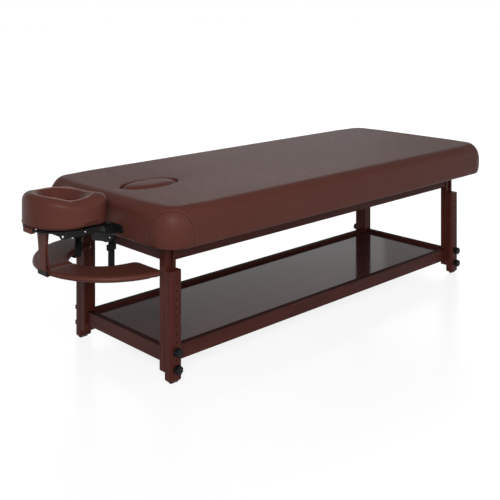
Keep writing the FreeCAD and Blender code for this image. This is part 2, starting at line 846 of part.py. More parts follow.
# Webbing: looped over a peg, down through a buckle and under a wing of the armrest
def web_strap():
    inner = peg_radius + loop_gap
    x0 = web_x - web_width / 2
    x1 = web_x + web_width / 2
    y0 = -rod_y - web_thickness / 2
    y1 = -rod_y + web_thickness / 2
    low = arm_bottom - web_thickness
    ring = bar(vec(x0, -rod_y, peg_z), vec(x1, -rod_y, peg_z), inner + web_thickness)
    drop = box(x0, x1, y0, y1, low, peg_z - inner)
    tail = box(x0, x1, -rod_y - web_tail, y1, low, arm_bottom)
    core = bar(vec(x0 - 1, -rod_y, peg_z), vec(x1 + 1, -rod_y, peg_z), inner)
    return ring.fuse([drop, tail]).removeSplitter().cut(core)


def web_buckle():
    """A slider frame round the webbing."""
    z1 = peg_z - buckle_drop
    frame = box(
        web_x - buckle_width / 2,
        web_x + buckle_width / 2,
        -rod_y - buckle_thickness / 2,
        -rod_y + buckle_thickness / 2,
        z1 - buckle_height,
        z1,
    )
    frame = frame.makeFillet(buckle_thickness / 3, edges_along(frame, vec(0, 1, 0)))
    half_x = web_width / 2 + buckle_gap
    half_y = web_thickness / 2 + buckle_gap
    slot = box(
        web_x - half_x, web_x + half_x, -rod_y - half_y, -rod_y + half_y, z1 - buckle_height - 1, z1 + 1
    )
    return frame.cut(slot)


for name, piece in (("web_strap", web_strap()), ("web_buckle", web_buckle())):
    save(name + "_near", piece)
    save(name + "_far", mirrored(piece))
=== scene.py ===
"""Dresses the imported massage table: upholstery, wood, hardware, straps and a plain studio."""

import math

import bmesh
import bpy
from bpy.props import FloatProperty, FloatVectorProperty, PointerProperty
from mathutils import Matrix, Vector
from mathutils.bvhtree import BVHTree


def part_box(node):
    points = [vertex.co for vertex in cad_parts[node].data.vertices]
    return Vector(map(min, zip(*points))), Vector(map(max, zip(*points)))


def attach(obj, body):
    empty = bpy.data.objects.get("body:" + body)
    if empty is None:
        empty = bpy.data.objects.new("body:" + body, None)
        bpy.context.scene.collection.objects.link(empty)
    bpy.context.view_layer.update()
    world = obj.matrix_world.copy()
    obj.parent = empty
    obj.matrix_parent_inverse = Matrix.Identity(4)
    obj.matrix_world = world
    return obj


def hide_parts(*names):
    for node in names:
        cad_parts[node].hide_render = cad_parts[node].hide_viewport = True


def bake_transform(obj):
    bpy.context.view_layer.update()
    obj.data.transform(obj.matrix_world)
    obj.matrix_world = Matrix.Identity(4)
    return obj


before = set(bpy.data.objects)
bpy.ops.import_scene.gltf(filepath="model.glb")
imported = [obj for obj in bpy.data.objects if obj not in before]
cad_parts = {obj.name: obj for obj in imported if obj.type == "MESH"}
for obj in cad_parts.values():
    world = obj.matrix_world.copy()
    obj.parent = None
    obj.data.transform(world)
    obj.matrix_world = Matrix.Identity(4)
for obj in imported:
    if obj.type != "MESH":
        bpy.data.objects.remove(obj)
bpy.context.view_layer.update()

bl_info = {
    "name": "Massage Table Dressing",
    "version": (1, 0, 0),
    "blender": (4, 5, 0),
    "location": "3D View > Sidebar > Massage Table",
    "description": "Upholsters, finishes and lights a stationary massage table",
    "category": "Object",
}


class TableSizes(bpy.types.PropertyGroup):
    """Sizes of the soft pieces and their sewing."""

    edge_roll: FloatProperty(
        name="Edge roll", description="Radius of the rolled top edge", default=0.038, unit="LENGTH"
    )
    lower_roll: FloatProperty(
        name="Lower roll", description="Radius of the top's lower edge", default=0.012, unit="LENGTH"
    )
    corner: FloatProperty(
        name="Corner", description="Plan radius of the top's corners", default=0.09, unit="LENGTH"
    )
    corner_pull: FloatProperty(
        name="Corner pull", description="How far the cover draws in at a corner", default=0.020, unit="LENGTH"
    )
    dome: FloatProperty(
        name="Plug dome", description="Rise of the plug above its rim", default=0.017, unit="LENGTH"
    )
    panel_reach: FloatProperty(
        name="Corner panel", description="Half width of a sewn corner panel", default=0.088, unit="LENGTH"
    )
    panel_rise: FloatProperty(
        name="Panel rise", description="Height of a corner panel up the side", default=0.121, unit="LENGTH"
    )
    stitch_pitch: FloatProperty(
        name="Stitch pitch", description="Distance between stitches", default=0.0075, unit="LENGTH"
    )
    stitch_length: FloatProperty(
        name="Stitch length", description="Length of one stitch", default=0.0048, unit="LENGTH"
    )
    voxel: FloatProperty(
        name="Foam mesh", description="Mesh size of the carved foam pieces", default=0.004, unit="LENGTH"
    )
    swell: FloatProperty(
        name="Swell", description="Furthest that a foam piece puffs out", default=0.003, unit="LENGTH"
    )


class TableColours(bpy.types.PropertyGroup):
    """Colours of the finishes."""

    vinyl: FloatVectorProperty(
        name="Vinyl", description="Upholstery colour", subtype="COLOR", default=(0.090, 0.027, 0.020)
    )
    # The piping colour is far lighter than the vinyl: it is a painted highlight along the face cushion's
    # ridge.
    piping: FloatVectorProperty(
        name="Piping", description="Face cushion ridge colour", subtype="COLOR", default=(0.36, 0.19, 0.15)
    )
    thread: FloatVectorProperty(
        name="Thread", description="Sewing thread colour", subtype="COLOR", default=(0.20, 0.10, 0.08)
    )
    wood: FloatVectorProperty(
        name="Wood", description="Stained hardwood colour", subtype="COLOR", default=(0.074, 0.016, 0.011)
    )
    shelf: FloatVectorProperty(
        name="Shelf", description="Lacquered shelf colour", subtype="COLOR", default=(0.060, 0.022, 0.023)
    )
    black: FloatVectorProperty(
        name="Black", description="Coat and plastic colour", subtype="COLOR", default=(0.005, 0.005, 0.0055)
    )
    floor: FloatVectorProperty(
        name="Floor", description="Studio floor colour", subtype="COLOR", default=(0.20, 0.20, 0.20)
    )


def sizes():
    return bpy.context.scene.table_sizes


def colours():
    return bpy.context.scene.table_colours


# Finishes


class Finish:
    """A node material under construction."""

    def __init__(self, name):
        self.material = bpy.data.materials.new(name)
        self.material.use_nodes = True
        self.tree = self.material.node_tree
        self.shader = self.tree.nodes["Principled BSDF"]

    def add(self, kind, inputs=None, **settings):
        node = self.tree.nodes.new(kind)
        for key, value in settings.items():
            setattr(node, key, value)
        for key, value in (inputs or {}).items():
            if isinstance(value, bpy.types.NodeSocket):
                self.tree.links.new(value, node.inputs[key])
            else:
                node.inputs[key].default_value = value
        return node

    def set(self, **values):
        for key, value in values.items():
            self.shader.inputs[key.replace("_", " ")].default_value = value

    def feed(self, key, socket):
        self.tree.links.new(socket, self.shader.inputs[key])

    def place(self, scale=(1.0, 1.0, 1.0)):
        """Object coordinates, stretched per axis."""
        coords = self.add("ShaderNodeTexCoord").outputs["Object"]
        return self.add("ShaderNodeMapping", {"Vector": coords, "Scale": scale}).outputs["Vector"]

    def noise(self, vector, scale, detail=4.0, rough=0.55, twist=0.0):
        inputs = {"Vector": vector, "Scale": scale, "Detail": detail, "Roughness": rough, "Distortion": twist}
        return self.add("ShaderNodeTexNoise", inputs).outputs["Fac"]

    def between(self, factor, low, high):
        """A number from low to high as factor goes from 0.3 to 0.7."""
        inputs = {"Value": factor, "From Min": 0.3, "From Max": 0.7, "To Min": low, "To Max": high}
        return self.add("ShaderNodeMapRange", inputs).outputs["Result"]

    def ramp(self, factor, *stops):
        node = self.add("ShaderNodeValToRGB", {"Fac": factor})
        ends = node.color_ramp.elements
        while len(ends) < len(stops):
            ends.new(0.5)
        for end, (place, colour) in zip(ends, stops):
            end.position = place
            end.color = (*colour, 1.0)
        return node.outputs["Color"]

    def blend(self, factor, low, high):
        """Mixes two colours or colour sockets."""
        node = self.add("ShaderNodeMix", data_type="RGBA")
        for index, value in ((0, factor), (6, low), (7, high)):
            if isinstance(value, bpy.types.NodeSocket):
                self.tree.links.new(value, node.inputs[index])
            else:
                node.inputs[index].default_value = (*value, 1.0) if index else value
        return node.outputs[2]

    def bump(self, height, strength, distance, under=None):
        inputs = {"Height": height, "Strength": strength, "Distance": distance}
        if under is not None:
            inputs["Normal"] = under
        return self.add("ShaderNodeBump", inputs).outputs["Normal"]


def shade(colour, factor):
    return tuple(min(1.0, c * factor) for c in colour)


made_finishes = {}


def finish(name, maker, *values):
    """The finish of that name, made on first use."""
    if name not in made_finishes:
        made_finishes[name] = maker(name, *values)
    return made_finishes[name]


def vinyl_finish(name, base):
    """Satin upholstery vinyl with a fine pebble grain."""
    f = Finish(name)
    place = f.place()
    cloud = f.noise(place, 5.0, 3.0)
    f.feed("Base Color", f.blend(f.between(cloud, 0.0, 1.0), shade(base, 0.96), shade(base, 1.04)))
    pebble = f.add(
        "ShaderNodeTexVoronoi", {"Vector": place, "Scale": 520.0}, feature="DISTANCE_TO_EDGE"
    ).outputs["Distance"]
    fine = f.noise(place, 900.0, 3.0)
    f.feed("Roughness", f.between(f.noise(place, 60.0, 3.0), 0.41, 0.47))
    grain = f.bump(pebble, 0.14, 0.0005)
    f.feed("Normal", f.bump(fine, 0.08, 0.0003, grain))
    f.set(Specular_IOR_Level=0.11)
    return f.material


def wood_finish(name, axis, tone=1.0, edge=1.0, gloss=0.46):
    """Stained hardwood: streaks and pores along the grain axis, dark on end grain; upward faces get painted
    shade, darker by edge, and less sheen.
    """
    f = Finish(name)
    along = [7.0, 7.0, 7.0]
    along[axis] = 0.55
    streak = f.noise(f.place(along), 5.0, 6.0, 0.6, 0.6)
    pores = [300.0, 300.0, 300.0]
    pores[axis] = 9.0
    pore = f.noise(f.place(pores), 1.0, 2.0, 0.5)
    base = shade(colours().wood, tone)
    body = f.ramp(streak, (0.28, shade(base, 0.62)), (0.52, base), (0.74, shade(base, 1.42)))
    body = f.blend(f.between(pore, 0.45, 0.0), body, shade(base, 0.35))
    facing = f.add("ShaderNodeSeparateXYZ", {"Vector": f.add("ShaderNodeNewGeometry").outputs["Normal"]})
    size = f.add("ShaderNodeMath", {0: facing.outputs[axis]}, operation="ABSOLUTE").outputs[0]
    cut = f.add("ShaderNodeMath", {0: size, 1: 0.9}, operation="GREATER_THAN").outputs[0]
    body = f.blend(cut, body, shade(base, 0.45))
    # Upward faces are darkened by edge and lose sheen: painted shade on the rails' tops.
    up = f.add("ShaderNodeMath", {0: facing.outputs["Z"], 1: 0.9}, operation="GREATER_THAN").outputs[0]
    f.feed("Base Color", f.blend(up, body, shade(base, edge)))
    f.feed("Roughness", f.between(streak, gloss + 0.06, gloss - 0.04))
    f.feed("Normal", f.bump(pore, 0.10, 0.0004))
    f.feed("Specular IOR Level", f.between(up, 0.11, 0.11 * edge**3))
    return f.material


def shelf_finish(name):
    """Dark lacquered panel with a soft mirror."""
    f = Finish(name)
    streak = f.noise(f.place((0.5, 6.0, 6.0)), 6.0, 6.0, 0.6, 0.5)
    base = colours().shelf
    f.feed("Base Color", f.ramp(streak, (0.3, shade(base, 0.75)), (0.55, base), (0.75, shade(base, 1.3))))
    f.feed("Roughness", f.between(f.noise(f.place(), 9.0, 3.0), 0.08, 0.11))
    f.feed("Normal", f.bump(f.noise(f.place((2.0, 40.0, 40.0)), 6.0, 2.0), 0.02, 0.0006))
    f.set(Specular_IOR_Level=0.075)
    return f.material


def plywood_finish(name):
    """Plain birch plywood."""
    f = Finish(name)
    streak = f.noise(f.place((0.5, 9.0, 9.0)), 6.0, 5.0, 0.6, 0.8)
    f.feed("Base Color", f.ramp(streak, (0.3, (0.36, 0.23, 0.12)), (0.7, (0.55, 0.39, 0.23))))
    f.feed("Roughness", f.between(streak, 0.5, 0.62))
    f.feed("Normal", f.bump(f.noise(f.place((8.0, 260.0, 260.0)), 1.0, 2.0), 0.1, 0.0004))
    return f.material


def coated_finish(name, tone=1.0, rough=0.42):
    """Black powder coat or moulded plastic with a fine texture."""
    f = Finish(name)
    place = f.place()
    base = shade(colours().black, tone)
    cloud = f.between(f.noise(place, 40.0), 0.0, 1.0)
    f.feed("Base Color", f.blend(cloud, shade(base, 0.85), shade(base, 1.2)))
    f.feed("Roughness", f.between(f.noise(place, 220.0, 2.0), rough - 0.05, rough + 0.05))
    f.feed("Normal", f.bump(f.noise(place, 1100.0, 2.0), 0.12, 0.0002))
    f.set(Specular_IOR_Level=0.15)
    return f.material


def steel_finish(name):
    """Bright drawn steel."""
    f = Finish(name)
    drawn = f.noise(f.place((700.0, 8.0, 700.0)), 1.0, 2.0)
    f.feed("Base Color", f.ramp(drawn, (0.3, (0.52, 0.52, 0.53)), (0.7, (0.66, 0.66, 0.67))))
    f.feed("Roughness", f.between(drawn, 0.2, 0.32))
    f.set(Metallic=1.0)
    return f.material


def webbing_finish(name):
    """Woven black webbing."""
    f = Finish(name)
    place = f.place()
    warp = f.add(
        "ShaderNodeTexWave", {"Vector": place, "Scale": 190.0, "Distortion": 0.4}, bands_direction="X"
    ).outputs["Fac"]
    weft = f.add(
        "ShaderNodeTexWave", {"Vector": place, "Scale": 130.0, "Distortion": 0.4}, bands_direction="Z"
    ).outputs["Fac"]
    weave = f.add("ShaderNodeMath", {0: warp, 1: weft}, operation="MULTIPLY").outputs[0]
    base = colours().black
    f.feed("Base Color", f.blend(weave, shade(base, 0.7), shade(base, 1.7)))
    f.feed("Roughness", f.between(weave, 0.75, 0.6))
    f.feed("Normal", f.bump(weave, 0.35, 0.0006))
    f.set(Specular_IOR_Level=0.2)
    return f.material


def fuzz_finish(name, tone):
    """Hook tape and felt."""
    f = Finish(name)
    place = f.place()
    fuzz = f.noise(place, 700.0, 3.0, 0.7)
    base = shade(colours().black, tone)
    f.feed("Base Color", f.blend(f.between(fuzz, 0.0, 1.0), shade(base, 0.7), shade(base, 1.4)))
    f.feed("Roughness", f.between(fuzz, 0.85, 0.95))
    f.feed("Normal", f.bump(fuzz, 0.5, 0.0008))
    return f.material


def thread_finish(name):
    """Twisted sewing thread."""
    f = Finish(name)
    twist = f.add("ShaderNodeTexWave", {"Vector": f.place(), "Scale": 700.0}, bands_direction="DIAGONAL")
    base = colours().thread
    f.feed("Base Color", f.blend(twist.outputs["Fac"], shade(base, 0.75), shade(base, 1.15)))
    f.feed("Roughness", f.between(twist.outputs["Fac"], 0.55, 0.65))
    return f.material


def vinyl():
    return finish("vinyl", vinyl_finish, colours().vinyl)


# Seam vinyl is the upholstery darkened to 0.55: painted shade in the seams and under the welts.
def seam_vinyl():
    return finish("seam_vinyl", vinyl_finish, shade(colours().vinyl, 0.55))


def strap_vinyl():
    return finish("strap_vinyl", vinyl_finish, shade(colours().vinyl, 1.1))


# Piping vinyl: a painted highlight, lighter than the upholstery, for the face cushion's ridge.
def piping_vinyl():
    return finish("piping_vinyl", vinyl_finish, colours().piping)


def black_plastic():
    return finish("black_plastic", coated_finish, 1.0, 0.48)


def steel():
    return finish("steel", steel_finish)


def webbing():
    return finish("webbing", webbing_finish)


def thread():
    return finish("thread", thread_finish)


# Modelling helpers

known_boxes = {}
THREAD_HALF_WIDTH = 0.00055
THREAD_HALF_HEIGHT = 0.00045
THREAD_LIFT = 0.0002


def box(node):
    """The lower and upper corner of a CAD node."""
    if node not in known_boxes:
        known_boxes[node] = tuple(Vector(corner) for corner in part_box(node))
    return known_boxes[node]


def bevel(bm, edges, offset, segments):
    return bmesh.ops.bevel(
        bm, geom=edges, offset=offset, segments=segments, profile=0.5, affect="EDGES", material=-1
    )


def piece(name, bm, body, material, smooth=60.0):
    """Turns a finished bmesh into an object that rides on a body, or on none yet."""
    mesh = bpy.data.meshes.new(name)
    bm.to_mesh(mesh)
    bm.free()
    mesh.materials.append(material)
    mesh.shade_smooth()
    mesh.set_sharp_from_angle(angle=math.radians(smooth))
    obj = bpy.data.objects.new(name, mesh)
    bpy.context.scene.collection.objects.link(obj)
    if body:
        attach(obj, body)
    return obj


def settle(obj):
    """Replaces an object's mesh by what its modifiers make of it."""
    depsgraph = bpy.context.evaluated_depsgraph_get()
    mesh = bpy.data.meshes.new_from_object(obj.evaluated_get(depsgraph))
    old = obj.data
    obj.modifiers.clear()
    obj.data = mesh
    bpy.data.meshes.remove(old)
    return mesh


def foam_copy(node, voxel):
    """A merged, evenly meshed copy of a soft CAD solid, as a bmesh."""
    bm = bmesh.new()
    bm.from_mesh(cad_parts[node].data)
    bmesh.ops.remove_doubles(bm, verts=bm.verts, dist=1e-5)
    mesh = bpy.data.meshes.new("foam")
    bm.to_mesh(mesh)
    bm.free()
    obj = bpy.data.objects.new("foam", mesh)
    bpy.context.scene.collection.objects.link(obj)
    remesh = obj.modifiers.new("Foam", "REMESH")
    remesh.mode = "VOXEL"
    remesh.voxel_size = voxel
    remesh.use_smooth_shade = True
    mesh = settle(obj)
    bm = bmesh.new()
    bm.from_mesh(mesh)
    bpy.data.objects.remove(obj)
    bpy.data.meshes.remove(mesh)
    return bm


def relax(bm, rounds, factor=0.5):
    for _ in range(rounds):
        bmesh.ops.smooth_vert(
            bm, verts=bm.verts, factor=factor, use_axis_x=True, use_axis_y=True, use_axis_z=True
        )


def tube(name, lines, radius, body, material, closed=False):
    """A thin round welt along one or more lines of points, as a mesh."""
    curve = bpy.data.curves.new(name, "CURVE")
    curve.dimensions = "3D"
    curve.bevel_depth = radius
    curve.bevel_resolution = 2
    curve.use_fill_caps = True
    for points in lines:
        spline = curve.splines.new("POLY")
        spline.points.add(len(points) - 1)
        for target, point in zip(spline.points, points):
            target.co = (*point, 1.0)
        spline.use_cyclic_u = closed
    holder = bpy.data.objects.new(name, curve)
    mesh = bpy.data.meshes.new_from_object(holder)
    bpy.data.objects.remove(holder)
    bpy.data.curves.remove(curve)
    bm = bmesh.new()
    bm.from_mesh(mesh)
    bpy.data.meshes.remove(mesh)
    return piece(name, bm, body, material)


def spaced(points, pitch):
    """Points and headings at even steps along a line."""
    found = []
    left = pitch / 2
    for a, b in zip(points, points[1:]):
        run = (b - a).length
        while left < run:
            found.append((a.lerp(b, left / run), (b - a).normalized()))
            left += pitch
        left -= run
    return found


def stitches(name, lines, body):
    """Short thread stitches laid along lines of (point, outward) pairs."""
    size = sizes()
    bm = bmesh.new()
    for line in lines:
        points = [p for p, _ in line]
        for spot, heading in spaced(points, size.stitch_pitch):
            near = min(line, key=lambda pair: (pair[0] - spot).length_squared)
            out = near[1]
            side = out.cross(heading).normalized()
            turn = Matrix((heading, side, out)).transposed().to_4x4()
            shape = Matrix.Diagonal((size.stitch_length / 2, THREAD_HALF_WIDTH, THREAD_HALF_HEIGHT, 1.0))
            place = Matrix.Translation(spot + out * THREAD_LIFT) @ turn @ shape
            bmesh.ops.create_icosphere(bm, subdivisions=1, radius=1.0, matrix=place)
    return piece(name, bm, body, thread())


def slice_lines(obj, level):
    """The closed outlines in which a level plane cuts an object, each as a list of points."""
    bm = bmesh.new()
    bm.from_mesh(obj.data)
    bmesh.ops.remove_doubles(bm, verts=bm.verts, dist=1e-6)
    cut = bmesh.ops.bisect_plane(
        bm, geom=bm.verts[:] + bm.edges[:] + bm.faces[:], plane_co=(0, 0, level), plane_no=(0, 0, 1)
    )
    edges = dict.fromkeys(e for e in cut["geom_cut"] if isinstance(e, bmesh.types.BMEdge))
    lines = []
    while edges:
        edge = next(iter(edges))
        del edges[edge]
        line = [edge.verts[0], edge.verts[1]]
        while True:
            onward = [e for e in line[-1].link_edges if e in edges]
            if not onward:
                break
            del edges[onward[0]]
            line.append(onward[0].other_vert(line[-1]))
        lines.append([v.co.copy() for v in line])
    bm.free()
    return [line for line in lines if len(line) > 8]


# The padded top


def ease(value):
    """A smooth step from 0 to 1."""
    value = max(0.0, min(1.0, value))
    return value * value * (3 - 2 * value)


def drawn_in(rise, height):
    """How far a lower roll of that height stands in at a rise above its bottom."""
    over = max(0.0, min(1.0, 1 - rise / height))
    return sizes().lower_roll * (1 - math.sqrt(1 - over * over))


def soften(point, low, high):
    """Draws a point of the top's outer skin in near a corner, where the cover is pulled tight."""
    size = sizes()
    fade, lower_pull = 0.10, 0.055
    offset = point - (low + high) / 2
    half = (high - low) / 2
    over_x = abs(offset.x) - half.x + size.corner
    over_y = abs(offset.y) - half.y + size.corner
    reach = Vector((max(0.0, over_x), max(0.0, over_y), 0.0))
    near = 1 - ease(-min(0.0, over_x, over_y) / fade)
    upper = size.corner_pull * max(0.0, offset.z / half.z) ** 1.6
    rise = point.z - low.z
    lower = max(0.0, drawn_in(rise, lower_pull) - drawn_in(rise, size.lower_roll))
    out = Vector((math.copysign(reach.x, offset.x), math.copysign(reach.y, offset.y), 0.0))
    share = min(1.0, reach.length / size.corner)
    return point - out.normalized() * near * share**2 * (upper + lower)


def wall_point(sx, sy, run, rise):
    """A point and outward normal on the side of the top, run along from a corner's middle and rise up."""
    size = sizes()
    low, high = box("top_cushion")
    arc = size.corner * math.pi / 4
    turn = max(-arc, min(arc, run)) / size.corner
    beyond = run - max(-arc, min(arc, run))
    heading = math.atan2(sy, sx) + turn * sx * sy
    out = Vector((math.cos(heading), math.sin(heading), 0.0))
    along = Vector((-out.y, out.x, 0.0)) * sx * sy
    middle = Vector(
        (
            (high.x - size.corner) if sx > 0 else (low.x + size.corner),
            (high.y - size.corner) if sy > 0 else (low.y + size.corner),
            0.0,
        )
    )
    wall = high.z - size.edge_roll - low.z
    over = max(0.0, rise - wall) / size.edge_roll
    inset = size.edge_roll * (1 - math.cos(over))
    height = low.z + min(rise, wall) + size.edge_roll * math.sin(over)
    point = middle + out * (size.corner - inset) + along * beyond
    point.z = height
    point = soften(point, low, high)
    return point, (out * math.cos(over) + Vector((0, 0, math.sin(over)))).normalized()


def ring_on(bm, edges):
    """Extrudes a ring of edges and returns the new ring's edges and vertices."""
    grown = bmesh.ops.extrude_edge_only(bm, edges=edges)["geom"]
    verts = [v for v in grown if isinstance(v, bmesh.types.BMVert)]
    inside = set(verts)
    return [e for e in grown if isinstance(e, bmesh.types.BMEdge) and set(e.verts) <= inside], verts


def oval_ring(bm, middle, a, b, z, segments):
    place = Matrix.Translation((middle.x, middle.y, z)) @ Matrix.Diagonal((a, b, 1.0, 1.0))
    verts = bmesh.ops.create_circle(bm, cap_ends=False, segments=segments, radius=1.0, matrix=place)["verts"]
    return list(dict.fromkeys(e for v in verts for e in v.link_edges))


def lay_oval(verts, middle, old, new, z):
    for v in verts:
        v.co.x = middle.x + (v.co.x - middle.x) * new[0] / old[0]
        v.co.y = middle.y + (v.co.y - middle.y) * new[1] / old[1]
        v.co.z = z


class TABLE_OT_top(bpy.types.Operator):
    """Makes the padded top: rolled edges, the face hole and a hollow underside"""

    bl_idname = "table.padded_top"
    bl_label = "Padded top"

    def execute(self, context):
        size = sizes()
        low, high = box("top_cushion")
        seat = box("deck_panel")[1].z + 0.0005
        plug_low, plug_high = box("face_hole_plug")
        middle = (plug_low + plug_high) / 2
        plug_gap, hole_margin = 0.0025, 0.034
        rim, rim_width, rim_sink = 0.005, 0.006, 0.001
        hole = ((plug_high.x - plug_low.x) / 2 + plug_gap, (plug_high.y - plug_low.y) / 2 + plug_gap)
        bm = bmesh.new()
        span = high - low
        place = Matrix.Translation((low + high) / 2) @ Matrix.Diagonal((*span, 1.0))
        bmesh.ops.create_cube(bm, size=1.0, matrix=place)
        upright = [e for e in bm.edges if abs(e.verts[0].co.z - e.verts[1].co.z) > 0.01]
        bevel(bm, upright, size.corner, 15)
        top = max(bm.faces, key=lambda f: f.calc_center_median().z)
        bevel(bm, list(top.edges), size.edge_roll, 12)
        base = min(bm.faces, key=lambda f: f.calc_center_median().z)
        bevel(bm, list(base.edges), size.lower_roll, 5)
        self.cut_walls(bm, low, high)
        top = max(bm.faces, key=lambda f: f.calc_center_median().z)
        bmesh.ops.inset_region(bm, faces=[top], thickness=0.02, depth=0.0, use_even_offset=True)
        for v in bm.verts:
            v.co = soften(v.co, low, high)
        level = top.calc_center_median().z
        outer = list(top.edges)
        bmesh.ops.delete(bm, geom=[top], context="FACES_ONLY")
        ring = (hole[0] + hole_margin, hole[1] + hole_margin)
        edges = oval_ring(bm, middle, *ring, level, len(outer))
        bmesh.ops.bridge_loops(bm, edges=outer + edges)
        steps = [(hole[0] + rim + rim_width, hole[1] + rim + rim_width, level - 0.6 * rim_sink)]
        for step in range(7):
            angle = math.pi / 2 * step / 6
            inset = rim * (1 - math.sin(angle))
            depth = rim_sink + rim * (1 - math.cos(angle))
            steps.append((hole[0] + inset, hole[1] + inset, level - depth))
        steps.append((*hole, seat))
        for a, b, z in steps:
            edges, verts = ring_on(bm, edges)
            lay_oval(verts, middle, ring, (a, b), z)
            ring = (a, b)
        base = min(bm.faces, key=lambda f: f.calc_center_median().z)
        bmesh.ops.inset_region(bm, faces=[base], thickness=0.002, depth=0.0, use_even_offset=True)
        lifted = bmesh.ops.extrude_face_region(bm, geom=[base])["geom"]
        for v in lifted:
            if isinstance(v, bmesh.types.BMVert):
                v.co.z = seat
        ceiling = [f for f in lifted if isinstance(f, bmesh.types.BMFace)][0]
        inner = list(ceiling.edges)
        bmesh.ops.delete(bm, geom=[ceiling], context="FACES_ONLY")
        if base.is_valid:
            bmesh.ops.delete(bm, geom=[base], context="FACES_ONLY")
        bmesh.ops.bridge_loops(bm, edges=inner + edges)
        bmesh.ops.recalc_face_normals(bm, faces=bm.faces)
        obj = piece("top_padding", bm, "table", vinyl(), 50.0)
        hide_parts("top_cushion")
        return {"FINISHED"}

    def cut_walls(self, bm, low, high):
        """Divides the sides, upwards and near the corners, so that the corners can be drawn in."""
        tall = [e for e in bm.edges if abs(e.verts[0].co.z - e.verts[1].co.z) > 0.03]
        bmesh.ops.subdivide_edges(bm, edges=tall, cuts=9, use_grid_fill=True)
        corner = sizes().corner
        for axis in (0, 1):
            for along in (0.025, 0.05, 0.075, 0.1):
                for level in (low[axis] + corner + along, high[axis] - corner - along):
                    skin = [f for f in bm.faces if abs(f.normal.z) < 0.9999]
                    parts = dict.fromkeys(part for f in skin for part in (*f.verts, *f.edges))
                    spot = [0.0, 0.0, 0.0]
                    spot[axis] = level
                    facing = [0.0, 0.0, 0.0]
                    facing[axis] = 1.0
                    bmesh.ops.bisect_plane(bm, geom=skin + list(parts), plane_co=spot, plane_no=facing)


class TABLE_OT_top_sewing(bpy.types.Operator):
    """Sews the arched corner panels and the lower seam of the top"""

    bl_idname = "table.top_sewing"
    bl_label = "Top sewing"

    def execute(self, context):
        size = sizes()
        foot, seam_height, stitch_offset = 0.004, 0.0105, 0.0045
        arches = []
        rows = []
        ends = {}
        for sx in (-1, 1):
            for sy in (-1, 1):
                line = []
                row = []
                for step in range(61):
                    t = math.pi * step / 60
                    c, s = math.cos(t), math.sin(t)
                    run = -math.copysign(abs(c) ** 0.8, c) * size.panel_reach
                    rise = foot + (size.panel_rise - foot) * s**0.8
                    point, out = wall_point(sx, sy, run, rise)
                    line.append(point - out * 0.0001)
                    grow = 1 + stitch_offset / size.panel_reach
                    row.append(wall_point(sx, sy, run * grow, foot + (rise - foot) * grow))
                arches.append(line)
                rows.append(row)
                ends[sx, sy] = [
                    wall_point(sx, sy, run, seam_height)[0] for run in (-size.panel_reach, size.panel_reach)
                ]
        # The corner and lower seams are darkened: painted shade in their creases.
        tube("corner_seams", arches, 0.0007, "table", seam_vinyl())
        stitches("corner_stitching", rows, "table")
        runs = []
        for side in (-1, 1):
            for axis, first, last in ((0, (-1, side), (1, side)), (1, (side, -1), (side, 1))):
                start = max(ends[first], key=lambda point: point[axis])
                runs.append([start, min(ends[last], key=lambda point: point[axis])])
        tube("lower_seam", runs, 0.0008, "table", seam_vinyl())
        return {"FINISHED"}


class TABLE_OT_plug(bpy.types.Operator):
    """Makes the domed oval plug of the face hole"""

    bl_idname = "table.hole_plug"
    bl_label = "Face hole plug"

    def execute(self, context):
        low, high = box("face_hole_plug")
        middle = (low + high) / 2
        a, b = (high.x - low.x) / 2, (high.y - low.y) / 2
        dome = sizes().dome
        edge, rim_roll = 0.004, 0.006
        bm = bmesh.new()
        ring = (a - edge, b - edge)
        edges = oval_ring(bm, middle, *ring, low.z + 0.0006, 72)
        bmesh.ops.edgeloop_fill(bm, edges=edges)
        steps = [(a - 0.001, b - 0.001, low.z + 0.002), (a, b, low.z + 0.008), (a, b, high.z - dome - 0.003)]
        for step in range(16):
            angle = math.pi / 2 * step / 16
            inset = rim_roll * (1 - math.cos(min(angle * 4, math.pi / 2)))
            share = math.cos(angle)
            steps.append(((a - inset) * share, (b - inset) * share, high.z - dome * share**7))
        for p, q, z in steps:
            edges, verts = ring_on(bm, edges)
            lay_oval(verts, middle, ring, (p, q), z)
            ring = (p, q)
        bmesh.ops.pointmerge(bm, verts=verts, merge_co=(middle.x, middle.y, high.z))
        bmesh.ops.recalc_face_normals(bm, faces=bm.faces)
        obj = piece("plug_padding", bm, "hole_plug", vinyl(), 60.0)
        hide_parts("face_hole_plug")
        return {"FINISHED"}


# The foam pieces: face cushion and armrest wings


def swell(bm, pressure, cap):
    """Puffs a closed foam shape with a short cloth simulation that moves no point further than cap."""
    scene = bpy.context.scene
    mesh = bpy.data.meshes.new("swelling")
    bm.to_mesh(mesh)
    obj = bpy.data.objects.new("swelling", mesh)
    scene.collection.objects.link(obj)
    cloth = obj.modifiers.new("Swell", "CLOTH")
    cloth.settings.use_pressure = True
    cloth.settings.uniform_pressure_force = pressure
    cloth.settings.effector_weights.gravity = 0.0
    cloth.collision_settings.use_collision = False
    for step in range(1, 21):
        scene.frame_set(step)
    puffed = bpy.data.meshes.new_from_object(obj.evaluated_get(bpy.context.evaluated_depsgraph_get()))
    for v, place in zip(bm.verts, puffed.vertices):
        move = place.co - v.co
        v.co += move * min(1.0, cap / max(move.length, 1e-9))
    scene.frame_set(1)
    bpy.data.objects.remove(obj)
    bpy.data.meshes.remove(mesh)
    bpy.data.meshes.remove(puffed)


def rest_flat(bm, level):
    """Keeps a pad flat where it lies on something."""
    for v in bm.verts:
        v.co.z = max(v.co.z, level)


